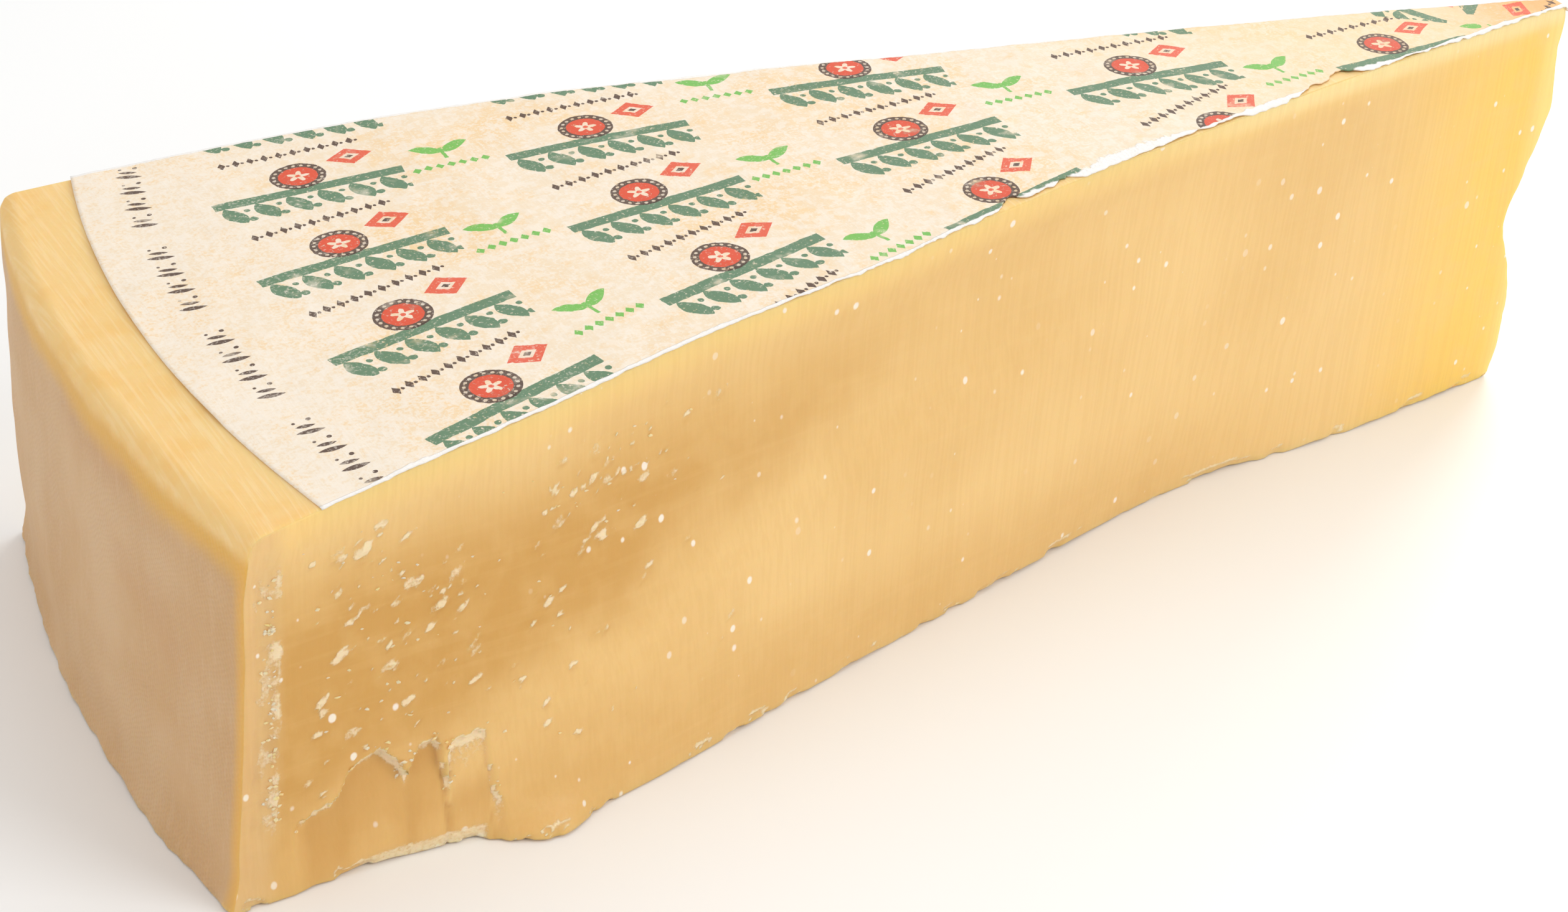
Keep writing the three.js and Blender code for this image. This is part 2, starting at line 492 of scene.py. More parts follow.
def cheese_surface():
    """Vertices, quads, bake coordinates and masks of the whole cheese."""
    long, wide, high = LATTICE_LENGTHS
    a = steps(long, ((0, 0.4), (3, 0.5), (70, 0.55), (95, 1.1), (150, 1.7), (300, 1.7), (304, 0.5)))
    b = steps(wide, ((0, 0.5), (4, 1.2), (9, 2.4), (116, 2.4), (121, 1.2), (125, 0.5)))
    c = steps(high, ((0, 0.4), (4, 0.55), (64, 0.6), (80, 0.7), (84, 0.4)))
    axes = (a, b, c)
    counts = tuple(len(s) - 1 for s in axes)
    quads, sides, grids = lattice(counts)
    strides = np.array([(counts[1] + 1) * (counts[2] + 1), counts[2] + 1, 1])
    keys, faces = np.unique(quads @ strides, return_inverse=True)
    faces = faces.reshape(-1, 4)
    ijk = np.stack([keys // strides[0], keys % strides[0] // strides[1], keys % strides[1]], -1)
    base = place(a[ijk[:, 0]], b[ijk[:, 1]], c[ijk[:, 2]])

    moved = base.copy()
    masks = {name: np.zeros(len(base)) for name in ("torn", "pit_shade", "rind")}
    on_sides = np.zeros(len(base))
    for number, side in enumerate(SIDES):
        axis, end = divmod(number, 2)
        on = np.flatnonzero(ijk[:, axis] == end * counts[axis])
        relief = RELIEFS[number](base[on])
        # The neighbouring sides follow a side's relief for a few millimetres, so nothing folds over.
        p, q = (other for other in range(3) if other != axis)
        push = np.zeros((counts[p] + 1, counts[q] + 1, 3))
        push[ijk[on, p], ijk[on, q]] = outward(side, base[on]) * relief.out[:, None]
        depth = np.abs(axes[axis][ijk[:, axis]] - end) * LATTICE_LENGTHS[axis]
        moved += push[ijk[:, p], ijk[:, q]] * smooth(RELIEF_REACH, 0, depth)[:, None]
        masks["torn"][on] = np.maximum(masks["torn"][on], relief.torn)
        masks["pit_shade"][on] = np.maximum(masks["pit_shade"][on], relief.pit_shade)
        if side in ("rind", "top"):
            masks["rind"][on] = 1
        on_sides[on] += 1
    for number, side in enumerate(SIDES):
        axis, end = divmod(number, 2)
        on = np.flatnonzero((ijk[:, axis] == end * counts[axis]) & (on_sides > 1))
        # The rim's rounding runs on from the rind to the top, so that edge stays as it is.
        rim = (ijk[on, 0] == 0) & (ijk[on, 2] == counts[2])
        keep = rim & (side in ("rind", "top"))
        moved[on] -= outward(side, base[on]) * (EDGE_ROUNDING * ~keep)[:, None]
    moved[:, 2] = np.maximum(moved[:, 2], 0)

    bake = np.zeros((len(quads), 4, 2))
    for number, (left, low, width, height) in enumerate(BAKE_PLACES):
        p_axis, q_axis = grids[number]
        on = sides == number
        bake[on, :, 0] = left + width * axes[p_axis][quads[on][:, :, p_axis]]
        bake[on, :, 1] = low + height * axes[q_axis][quads[on][:, :, q_axis]]

    masks["from_rind"] = behind_rind(base)
    masks["from_top"] = below_top(base)
    masks["from_cut"] = base[:, 1] - near_cut(base[:, 0], base[:, 2])
    return moved, faces, bake, masks


def new_object(name, data):
    made = bpy.data.objects.new(name, data)
    bpy.context.scene.collection.objects.link(made)
    return made


def make_piece(name, points, faces, material, masks=None, bake=None):
    """A mesh piece in the row frame, from points in millimetres about the wheel's axis."""
    mesh = bpy.data.meshes.new(name)
    mesh.from_pydata((points * MM + (AXIS_X, AXIS_Y, 0)).tolist(), [], faces.tolist())
    for key, values in (masks or {}).items():
        layer = mesh.attributes.new(key, "FLOAT", "POINT")
        layer.data.foreach_set("value", values.astype(np.float32))
    if bake is not None:
        layer = mesh.uv_layers.new(name="OFBake")
        layer.data.foreach_set("uv", bake.astype(np.float32).ravel())
    mesh.polygons.foreach_set("use_smooth", np.ones(len(mesh.polygons), bool))
    mesh.materials.append(material)
    piece = new_object(name, mesh)
    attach(piece, "root")
    return piece


# ---------------------------------------------------------------- shader helper
def srgb(red, green, blue):
    """A colour given in 0..255 as a screen shows it, as the shader's linear colour."""
    def linear(v):
        v /= 255
        return v / 12.92 if v <= 0.04045 else ((v + 0.055) / 1.055) ** 2.4
    return (linear(red), linear(green), linear(blue), 1.0)


class Graph:
    """A material's node tree, with short calls for the nodes that are used here."""

    def __init__(self, name):
        self.material = bpy.data.materials.new(name)
        self.material.use_nodes = True
        self.tree = self.material.node_tree
        self.shader = self.tree.nodes["Principled BSDF"]
        coordinates = self.tree.nodes.new("ShaderNodeTexCoord")
        self.position = self.scaled(coordinates.outputs["Object"], (1 / MM,) * 3)

    def put(self, socket, value):
        if isinstance(value, bpy.types.NodeSocket):
            self.tree.links.new(value, socket)
        else:
            socket.default_value = value

    def new(self, kind, inputs, **settings):
        """The outputs of a new node, whose inputs are values or other nodes' outputs."""
        node = self.tree.nodes.new("ShaderNode" + kind)
        for key, value in settings.items():
            setattr(node, key, value)
        for key, value in inputs.items():
            self.put(node.inputs[key], value)
        return node.outputs

    def math(self, operation, *values, clamp=False):
        return self.new("Math", dict(enumerate(values)), operation=operation, use_clamp=clamp)[0]

    def plus(self, first, second):
        return self.math("ADD", first, second)

    def minus(self, first, second):
        return self.math("SUBTRACT", first, second)

    def times(self, first, second, clamp=False):
        return self.math("MULTIPLY", first, second, clamp=clamp)

    def over(self, first, second):
        return self.math("DIVIDE", first, second)

    def less(self, first, second):
        return self.math("LESS_THAN", first, second)

    def gap(self, first, second):
        return self.math("ABSOLUTE", self.minus(first, second))

    def sway(self, value, amount):
        """A value in 0..1, moved to lie about 0 and made that tall."""
        return self.times(self.minus(value, 0.5), amount)

    def scaled(self, vector, scale):
        return self.new("VectorMath", {0: vector, 1: scale}, operation="MULTIPLY")["Vector"]

    def split(self, vector):
        x, y, z = self.new("SeparateXYZ", {0: vector})
        return x, y, z

    def mix(self, share, first, second):
        return self.new("Mix", {0: share, 6: first, 7: second}, data_type="RGBA")[2]

    def rise(self, value, low, high, top=1.0):
        """0 below low, top above high (or the other way round), smooth between."""
        start, end = 0, top
        if low > high:
            low, high, start, end = high, low, top, 0
        inputs = {"Value": value, "From Min": low, "From Max": high, "To Min": start, "To Max": end}
        return self.new("MapRange", inputs, interpolation_type="SMOOTHSTEP")[0]

    def noise(self, size, detail=3.0, stretch=(1, 1, 1), roughness=0.5):
        """Noise in 0..1 with features of about that size in millimetres."""
        place = self.scaled(self.position, tuple(1 / (size * s) for s in stretch))
        inputs = {"Vector": place, "Scale": 1, "Detail": detail, "Roughness": roughness}
        return self.new("TexNoise", inputs)["Fac"]

    def cells(self, size, stretch=(1, 1, 1)):
        """Distance to the nearest of scattered points, in cells, and a random colour for each."""
        place = self.scaled(self.position, tuple(1 / (size * s) for s in stretch))
        outputs = self.new("TexVoronoi", {"Vector": place, "Scale": 1})
        return outputs["Distance"], outputs["Color"]

    def attribute(self, name):
        return self.new("Attribute", {}, attribute_name=name)["Fac"]

    def bumps(self, height, distance):
        """height is in 0..1, and distance is what 1 means in millimetres."""
        inputs = {"Strength": 1, "Distance": distance * MM, "Height": height}
        self.put(self.shader.inputs["Normal"], self.new("Bump", inputs)[0])

    def scatter(self, weight, radius, scale):
        """Light that goes into the surface and comes out again, up to scale millimetres away."""
        self.shader.inputs["Subsurface Weight"].default_value = weight
        self.shader.inputs["Subsurface Radius"].default_value = radius
        self.shader.inputs["Subsurface Scale"].default_value = scale * MM

    def gloss(self, level):
        self.shader.inputs["Specular IOR Level"].default_value = level

    def finish(self, colour, roughness):
        self.put(self.shader.inputs["Base Color"], colour)
        self.put(self.shader.inputs["Roughness"], roughness)
        return self.material


# ---------------------------------------------------------------- materials
DEEP = srgb(208, 155, 76)
MIDDLE = srgb(235, 193, 124)
PALE = srgb(243, 204, 137)
TIP_GOLD_GLOW = srgb(255, 208, 96)
TIP_EDGE_GLOW = srgb(255, 226, 142)
UNDER_RIND = srgb(228, 190, 134)
UNDER_TOP = srgb(250, 212, 134)
PALE_BAND = srgb(255, 228, 166)
TORN = srgb(251, 230, 192)
PIT_SHADE = srgb(206, 152, 76)
CRYSTAL = srgb(254, 240, 222)
RIND = srgb(206, 165, 118)
RIND_HAZE = srgb(214, 178, 136)
RIND_RED = srgb(197, 146, 102)
RIND_DIMPLE = srgb(193, 147, 104)
RIND_GOLD_AND_GLOW = srgb(228, 176, 86)
RIM = srgb(241, 202, 134)
RIM_SPOT = srgb(240, 194, 118)
RIM_STREAK = srgb(250, 226, 180)


# The hollow that the knife left: its edge climbs along the cut, as height = slope * x + base.
HOLLOW_EDGE_SLOPE = 0.39
HOLLOW_EDGE_BASE = 65.0


def hollow_tone_and_shade(g, x, z):
    """1 where the cut is hollow: deeper in colour and with painted shade of the hollow, above a
    diagonal edge near the rind.
    """
    edge = g.plus(g.times(x, HOLLOW_EDGE_SLOPE), HOLLOW_EDGE_BASE)
    above = g.plus(g.minus(z, edge), g.sway(g.noise(26, 3), 18.0))
    hollow = g.times(g.rise(above, -8, 10), g.rise(x, 15, -85))
    return g.times(hollow, g.rise(g.attribute("from_top"), 5, 24, 0.85))


def cut_colour(g):
    """The cut crumb: deeper orange beside the rind, with painted shade in its hollow, paler towards
    the middle, and gold at the tip with a painted glow where light shines through the thin tip.
    """
    x, _, z = g.split(g.position)
    from_top = g.attribute("from_top")
    colour = g.mix(g.rise(g.noise(60, 2), 0.35, 0.65), MIDDLE, PALE)
    # The hollow: partly a deeper colour, partly painted shade.
    colour = g.mix(hollow_tone_and_shade(g, x, z), colour, DEEP)
    low = g.times(g.rise(z, 26, 6), g.rise(x, 110, 20, 0.35))
    colour = g.mix(low, colour, DEEP)
    # Painted glow: light shining through the thin tip, gold and palest at its edge.
    colour = g.mix(g.rise(x, 95, 146, 0.85), colour, TIP_GOLD_GLOW)
    colour = g.mix(g.rise(x, 146, 154, 0.7), colour, TIP_EDGE_GLOW)
    colour = g.mix(g.rise(from_top, 8, 1, 0.8), colour, UNDER_TOP)
    pale_band = g.times(g.rise(from_top, 5, 1.5, 0.75), g.rise(x, 20, 90))
    colour = g.mix(pale_band, colour, PALE_BAND)
    colour = g.mix(g.rise(g.attribute("from_rind"), 8, 3.5, 0.7), colour, UNDER_RIND)
    colour = g.mix(g.rise(g.noise(7, 4), 0.42, 0.66, 0.18), colour, PALE)
    wire = g.rise(g.noise(0.75, 2, (1, 1, 70)), 0.4, 0.62, 0.08)
    colour = g.mix(wire, colour, DEEP)
    drag = g.rise(g.noise(1.6, 2, (26, 26, 1)), 0.5, 0.68, 0.08)
    return g.mix(drag, colour, PALE)


CRYSTAL_SPACING = 4.0
CRYSTAL_REACH = 0.2  # the largest crystal's radius, as a share of the spacing


def crystals(g, colour):
    """White grains up to about 1.5 mm wide, each of its own size, some just under the cut."""
    distance, random = g.cells(CRYSTAL_SPACING, (0.9, 2.4, 1.1))
    size, strength, _ = g.split(random)
    distance = g.plus(distance, g.sway(g.noise(0.9, 2), 0.035))
    reach = g.times(g.math("POWER", size, 1.4), CRYSTAL_REACH)
    spot = g.rise(g.minus(reach, distance), -0.035, 0.05)
    spot = g.times(spot, g.rise(strength, 0.1, 0.8, 0.95))
    return g.mix(spot, colour, CRYSTAL), spot


WEAVE_ACROSS = 1.15  # the cloth's thread spacings, in mm
WEAVE_UP = 1.5


def weave_print(g):
    """The cloth's print on the rind: 1 on its raised points, which stand in leaning rows."""
    _, y, z = g.split(g.position)
    warp = g.sway(g.noise(7, 2), 2.2)
    across = g.plus(g.plus(y, g.times(z, 0.35)), warp)
    up = g.plus(g.plus(z, g.times(y, -0.3)), warp)
    first = g.math("SINE", g.times(across, 2 * math.pi / WEAVE_ACROSS))
    second = g.math("SINE", g.times(up, 2 * math.pi / WEAVE_UP))
    clear = g.rise(g.noise(16, 2), 0.3, 0.6, 0.75)
    woven = g.times(g.times(first, second), g.plus(clear, 0.25))
    return g.plus(g.times(woven, 0.5), 0.5)


def rim_streaks(g):
    """Fine streaks along the rim, where the wheel was brushed."""
    return g.noise(0.5, 3, (1, 26, 6))


def rind_colour(g):
    """Dry tan rind with a paler bloom; golden under the rim, with a painted golden glow beside the cut
    where light shows through the edge, and pale yellow on its brushed top.
    """
    _, _, z = g.split(g.position)
    side = g.mix(g.rise(g.noise(26, 4), 0.35, 0.7), RIND, RIND_HAZE)
    side = g.mix(g.rise(g.noise(48, 3, (1, 1, 0.5)), 0.5, 0.75, 0.5), side, RIND_RED)
    bloom = g.rise(g.noise(3.0, 3, (1, 0.5, 3)), 0.52, 0.72, 0.4)
    side = g.mix(bloom, side, RIND_HAZE)
    side = g.mix(g.rise(weave_print(g), 0.5, 0.1, 0.24), side, RIND_DIMPLE)
    fine, _ = g.cells(0.8)
    side = g.mix(g.rise(fine, 0.35, 0.1, 0.3), side, RIND_HAZE)
    uneven = g.plus(z, g.sway(g.noise(14, 3), 5.0))
    side = g.mix(g.rise(uneven, SIDE_TOP - 8, SIDE_TOP - 2, 0.9), side, RIND_GOLD_AND_GLOW)
    # Painted glow: the rind's edge beside the cut, lit through and golden.
    side = g.mix(g.rise(g.attribute("from_cut"), 4.5, 0.5, 0.75), side, RIND_GOLD_AND_GLOW)
    rim = g.mix(g.rise(g.noise(9, 3), 0.45, 0.68, 0.75), RIM, RIM_SPOT)
    rim = g.mix(g.rise(rim_streaks(g), 0.48, 0.66, 0.25), rim, RIM_STREAK)
    return g.mix(g.rise(uneven, SIDE_TOP - 2, SIDE_TOP + 2), side, rim)


def ragged_torn(g):
    """The mesh's soft mask of torn crumb, given a ragged edge."""
    soft = g.attribute("torn")
    rough = g.minus(g.noise(0.7, 4, roughness=0.6), 0.5)
    ragged = g.rise(g.plus(soft, rough), 0.3, 0.8)
    return g.times(ragged, g.rise(soft, 0.05, 0.4))


def cut_texture(g, grain, spot, torn):
    """Height of the cut's fine texture: wire scratches, crumb, crystals and torn flakes."""
    wire = g.noise(0.8, 2, (1, 1, 70))
    height = g.plus(g.times(wire, 0.4), g.times(grain, 0.4))
    height = g.plus(height, g.times(spot, 0.3))
    height = g.plus(height, g.times(torn, 0.5))
    flaky = g.times(torn, g.noise(0.9, 4, (1.6, 1.6, 0.6)))
    return g.plus(height, g.times(flaky, 1.8))


def rind_texture(g, z):
    """Height of the rind's fine texture: the cloth's print, and brush streaks on the rim."""
    rim_share = g.rise(z, SIDE_TOP - 1, SIDE_TOP + 2)
    print_height = g.times(g.times(weave_print(g), 0.7), g.minus(1.0, rim_share))
    streak_height = g.times(g.times(rim_streaks(g), 0.5), rim_share)
    return g.plus(g.plus(print_height, streak_height), g.noise(2.0, 4))


def cheese_material():
    g = Graph("cheese_with_rind")
    _, _, z = g.split(g.position)
    torn = ragged_torn(g)
    cut, spot = crystals(g, cut_colour(g))
    # Painted shade in the hollows and under the torn flaps.
    cut = g.mix(g.times(g.attribute("pit_shade"), 0.75, clamp=True), cut, PIT_SHADE)
    cut = g.mix(g.times(torn, 0.8, clamp=True), cut, TORN)
    rind_share = g.rise(g.attribute("rind"), 0.35, 0.75)
    colour = g.mix(rind_share, cut, rind_colour(g))
    colour = g.mix(g.times(g.times(torn, rind_share), 0.6), colour, UNDER_TOP)
    grain = g.noise(0.6, 3)
    cut_height = g.times(cut_texture(g, grain, spot, torn), g.minus(1.0, rind_share))
    g.bumps(g.plus(cut_height, g.times(rind_texture(g, z), rind_share)), 0.12)
    roughness = g.plus(0.4, g.times(grain, 0.16))
    roughness = g.plus(roughness, g.times(rind_share, 0.12))
    g.scatter(0.35, (1.0, 0.55, 0.2), 4.0)
    g.gloss(0.35)
    return g.finish(colour, roughness)


PAPER = srgb(242, 221, 192)
PAPER_DAMP = srgb(244, 206, 152)
PAPER_TIP = srgb(234, 170, 96)
PAPER_HAZE = srgb(247, 234, 217)
FIBRE = srgb(248, 243, 237)
INK_GREEN = srgb(88, 128, 98)
INK_DARK = srgb(80, 58, 50)
INK_RED = srgb(228, 90, 62)
INK_LEAF = srgb(112, 186, 82)

# The print repeats in rings about the wheel's axis. Its unit is the radius of the round
# ornament's red field.
UNIT = 3.5
OUTER_RING = 232.0
RING_STEP = 52.0
RING_PITCH = 27.5
RING_START = 34.2
RING_TURNS = (-2.95, 2.1, 2.75, 8.0)
MOTIF_TILT = 0.1
INK_WANDER = 0.12
BORDER_RADIUS = 260.0
BORDER_PITCH = 6.4
PRINT_END = OUTER_RING + 20  # the motifs stop here, and only the border lies outside


def print_place(g):
    """Place within the printed motif, in units: along it towards the axis, and across it."""
    x, y, _ = g.split(g.position)
    x = g.minus(x, AXIS_X / MM)
    y = g.minus(y, AXIS_Y / MM)
    radius = g.math("SQRT", g.plus(g.times(x, x), g.times(y, y)))
    angle = g.math("ARCTAN2", y, g.times(x, -1.0))
    ring = g.math("FLOOR", g.over(g.minus(OUTER_RING + RING_START, radius), RING_STEP))
    ring_radius = g.minus(OUTER_RING, g.times(ring, RING_STEP))
    count = g.math("ROUND", g.times(ring_radius, 2 * math.pi / RING_PITCH))
    pitch = g.over(2 * math.pi, g.math("MAXIMUM", count, 1.0))
    half_pitch = g.times(pitch, 0.5)
    turn = 0.0
    for number, degrees in enumerate(RING_TURNS):
        here = g.math("COMPARE", ring, float(number), 0.5)
        turn = g.plus(turn, g.times(here, math.radians(degrees)))
    from_turn = g.plus(g.minus(angle, turn), half_pitch)
    wrapped = g.minus(g.math("FLOORED_MODULO", from_turn, pitch), half_pitch)
    across = g.over(g.times(wrapped, radius), UNIT)
    along = g.over(g.minus(ring_radius, radius), UNIT)
    jitter = g.sway(g.noise(1.1, 2), INK_WANDER)
    u = g.plus(g.plus(along, g.times(across, MOTIF_TILT)), jitter)
    v = g.plus(g.minus(across, g.times(along, MOTIF_TILT)), jitter)
    return u, v, radius, angle


def ellipse(g, u, v, at, radii):
    """1 inside an ellipse."""
    p = g.over(g.minus(u, at[0]), radii[0])
    q = g.over(g.minus(v, at[1]), radii[1])
    return g.less(g.plus(g.times(p, p), g.times(q, q)), 1.0)


def block(g, u, v, at, half):
    """1 inside a rectangle."""
    in_u = g.less(g.gap(u, at[0]), half[0])
    in_v = g.less(g.gap(v, at[1]), half[1])
    return g.times(in_u, in_v)


def lozenge(g, u, v, at, half):
    """1 inside a diamond."""
    p = g.over(g.gap(u, at[0]), half[0])
    q = g.over(g.gap(v, at[1]), half[1])
    return g.less(g.plus(p, q), 1.0)


def leaf(g, u, v, at, half, lean=0.0):
    """1 inside a leaf with two points, that leans over by lean for each unit of v."""
    q = g.minus(v, at[1])
    p = g.minus(g.minus(u, at[0]), g.times(q, lean))
    share = g.over(q, half[1])
    width = g.times(g.minus(1.0, g.times(share, share)), half[0])
    return g.less(g.math("ABSOLUTE", p), width)


def repeated(g, u, start, pitch):
    """u within one repeat, centred on 0."""
    return g.minus(g.math("FLOORED_MODULO", g.minus(u, start), pitch), pitch / 2)


def either(g, *masks):
    total = masks[0]
    for mask in masks[1:]:
        total = g.math("MAXIMUM", total, mask)
    return total


def garland(g, u, v):
    """A rule with a garland of plump leaves and berries under it: the motif's green part."""
    rule = block(g, u, v, (0.15, -1.6), (4.95, 0.38))
    inside = block(g, u, v, (0.16, -2.95), (4.86, 1.0))
    m = repeated(g, u, -4.7, 1.62)
    leaves = either(g, leaf(g, m, v, (-0.2, -2.92), (0.52, 0.98), -0.3),
                    ellipse(g, m, v, (0.52, -3.5), (0.22, 0.22)),
                    ellipse(g, m, v, (0.5, -2.5), (0.16, 0.16)))
    return either(g, rule, g.times(inside, leaves))


def bead_row(g, u, v):
    """A row of small diamonds and dots, over the neighbouring garland."""
    inside = block(g, u, v, (0.2, 2.75), (3.7, 0.42))
    m = repeated(g, u, -3.5, 0.74)
    beads = either(g, lozenge(g, m, v, (-0.08, 2.75), (0.2, 0.38)),
                   ellipse(g, m, v, (0.24, 2.7), (0.09, 0.11)))
    return g.times(inside, beads)


def sprout(g, u, v):
    """Two leaves on a stalk, and a dotted line under them."""
    leaves = either(g, leaf(g, v, u, (0.95, -8.25), (0.42, 0.85), -0.45),
                    leaf(g, v, u, (0.95, -6.85), (0.42, 0.85), 0.45),
                    block(g, u, v, (-7.55, 0.35), (0.1, 0.62)))
    line = block(g, u, v, (-7.6, -1.05), (2.1, 0.32))
    dots = lozenge(g, repeated(g, u, -9.7, 0.6), v, (0, -1.05), (0.24, 0.3))
    return either(g, leaves, g.times(line, dots))


DISC_RADIUS = 1.42
BEAD_RING = 1.21
DIAMOND_AT = (2.95, 1.0)


def flower_parts(g, u, v):
    """The round ornament's beads, flower and the flower's heart."""
    around = g.math("ARCTAN2", v, u)
    distance = g.math("SQRT", g.plus(g.times(u, u), g.times(v, v)))
    bead = repeated(g, g.times(around, BEAD_RING), 0.0, 0.4)
    beads = ellipse(g, bead, distance, (0, BEAD_RING), (0.1, 0.09))
    petals = g.plus(0.42, g.times(g.math("COSINE", g.times(around, 5.0)), 0.17))
    flower = g.less(distance, petals)
    heart = g.less(distance, 0.14)
    return beads, flower, heart


def border(g, radius, angle):
    """The row of small dark ornaments that runs round inside the label's edge."""
    around = g.times(angle, BORDER_RADIUS)
    b = repeated(g, around, 0.0, BORDER_PITCH)
    marks = either(g, leaf(g, b, radius, (-1.6, BORDER_RADIUS), (0.62, 2.3), 0.2),
                   leaf(g, b, radius, (0.2, BORDER_RADIUS), (0.5, 1.6), 0.2),
                   ellipse(g, b, radius, (1.8, BORDER_RADIUS - 1.4), (0.42, 0.42)),
                   ellipse(g, b, radius, (1.8, BORDER_RADIUS + 1.2), (0.3, 0.3)))
    place_in_five = g.math("FLOORED_MODULO", around, 5 * BORDER_PITCH)
    return g.times(marks, g.math("GREATER_THAN", place_in_five, BORDER_PITCH))


def label_print(g, paper, place):
    """A generic printed motif in rings: a garland, beads, a flower, a diamond and a sprout."""
    u, v, radius, angle = place
    worn = g.rise(g.noise(0.5, 3), 0.22, 0.42, 0.94)
    worn = g.times(worn, g.rise(g.noise(5, 3), 0.12, 0.42, 1.0))
    beads, flower, heart = flower_parts(g, u, v)
    beads_end = g.less(radius, OUTER_RING + 16)
    sprouts_end = g.less(radius, OUTER_RING - 6)

    def ink(colour, mask, with_colour):
        return g.mix(g.times(mask, worn), colour, with_colour)

    def bare(colour, mask, strength):
        return g.mix(g.times(mask, strength), colour, paper)

    colour = ink(paper, garland(g, u, v), INK_GREEN)
    colour = ink(colour, g.times(bead_row(g, u, v), beads_end), INK_DARK)
    colour = ink(colour, ellipse(g, u, v, (0, 0), (DISC_RADIUS, DISC_RADIUS)), INK_DARK)
    colour = bare(colour, beads, 0.7)
    colour = ink(colour, ellipse(g, u, v, (0, 0), (1.0, 1.0)), INK_RED)
    colour = bare(colour, flower, 0.92)
    colour = ink(colour, heart, INK_RED)
    colour = ink(colour, lozenge(g, u, v, DIAMOND_AT, (1.2, 0.95)), INK_RED)
    colour = bare(colour, lozenge(g, u, v, DIAMOND_AT, (0.55, 0.4)), 0.9)
    colour = ink(colour, lozenge(g, u, v, DIAMOND_AT, (0.26, 0.19)), INK_DARK)
    colour = ink(colour, g.times(sprout(g, u, v), sprouts_end), INK_LEAF)
    colour = g.mix(g.math("GREATER_THAN", radius, PRINT_END), colour, paper)
    return ink(colour, border(g, radius, angle), INK_DARK)


def paper_colour(g, weave, speckle):
    """Yellowed paper, chalky in places, and damp and golden towards the tip."""
    x, _, _ = g.split(g.position)
    paper = g.mix(g.rise(g.noise(24, 4), 0.45, 0.72, 0.8), PAPER, PAPER_DAMP)
    paper = g.mix(g.rise(g.noise(5, 4), 0.52, 0.66, 0.5), paper, PAPER_DAMP)
    paper = g.mix(g.rise(g.noise(2.2, 4, roughness=0.65), 0.46, 0.6, 0.6), paper, PAPER_HAZE)
    paper = g.mix(g.rise(weave, 0.55, 0.75, 0.4), paper, PAPER_HAZE)
    paper = g.mix(g.rise(speckle, 0.5, 0.62, 0.6), paper, PAPER_HAZE)
    paper = g.mix(g.rise(x, 20, 120, 0.5), paper, PAPER_DAMP)
    return g.mix(g.rise(x, 118, 150, 0.8), paper, PAPER_TIP)


def label_material():
    g = Graph("printed_label")
    place = print_place(g)
    weave = g.math("MAXIMUM", g.noise(0.5, 2, (12, 1, 1)), g.noise(0.5, 2, (1, 12, 1)))
    # Chalky wear, heaviest along the label's outer edge.
    speckle = g.plus(g.noise(0.6, 4, roughness=0.6), g.rise(place[2], 215, 266, 0.1))
    speckle = g.plus(speckle, g.sway(g.noise(12, 3), 0.3))
    colour = label_print(g, paper_colour(g, weave, speckle), place)
    colour = g.mix(g.rise(speckle, 0.62, 0.7, 0.3), colour, PAPER_HAZE)
    torn = g.rise(g.plus(g.attribute("fray"), g.sway(g.noise(2.0, 4), 0.7)), 0.45, 0.58)
    colour = g.mix(torn, colour, FIBRE)
    height = g.plus(weave, g.times(g.noise(1.5, 4), 0.8))
    height = g.plus(height, g.times(g.noise(14, 3), 5.0))
    height = g.plus(height, g.times(g.times(torn, g.noise(0.6, 4)), 3.0))
    g.bumps(height, 0.07)
    g.scatter(0.1, (1.0, 0.8, 0.6), 1.2)
    g.gloss(0.3)
    return g.finish(colour, 0.68)


def crumb_material():
    g = Graph("torn_crumbs")
    colour = g.mix(g.rise(g.noise(3, 3), 0.35, 0.65), TORN, UNDER_TOP)
    g.bumps(g.noise(0.5, 4), 0.1)
    g.scatter(0.4, (1.0, 0.6, 0.3), 2.0)
    return g.finish(colour, 0.6)


def floor_material():
    g = Graph("pale_floor")
    colour = g.mix(g.rise(g.noise(400, 2), 0.3, 0.7), srgb(244, 244, 243), srgb(249, 249, 248))
    return g.finish(colour, 0.55)


# ---------------------------------------------------------------- pieces
def make_cheese():
    points, faces, bake, masks = cheese_surface()
    piece = make_piece("cheese", points, faces, cheese_material(), masks, bake)
    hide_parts("cheese_wedge")
    return piece


LABEL_GAP = 0.3
LABEL_THICK = 0.24
LABEL_OVER_TIP = 3.5

# Bites and slack along the paper's edge at the near cut: where behind the tip, how deep, how wide.
NEAR_BITES = (
    (148, 2.2, 3.0), (141, 1.2, 2.0), (136, 2.8, 2.6), (64, 3.2, 4.0), (72, 1.6, 3.0), (101, 0.8, 7.0),
)
NEAR_FRAYS = ((120, 2.6, 16), (146, 1.4, 8), (60, 1.2, 9), (84, 0.8, 10))


def paper_edge(x, seed):
    """How far the paper's torn edge lies outside the cut, in mm; negative where it stops short."""
    flat = along_x(x)
    wild = 0.35 + 0.65 * smooth(-190, -150, x)
    return 0.1 + wild * (0.3 * noise(flat, 2.2, 3, seed) + 0.35 * noise(flat, 16, 2, seed + 1))


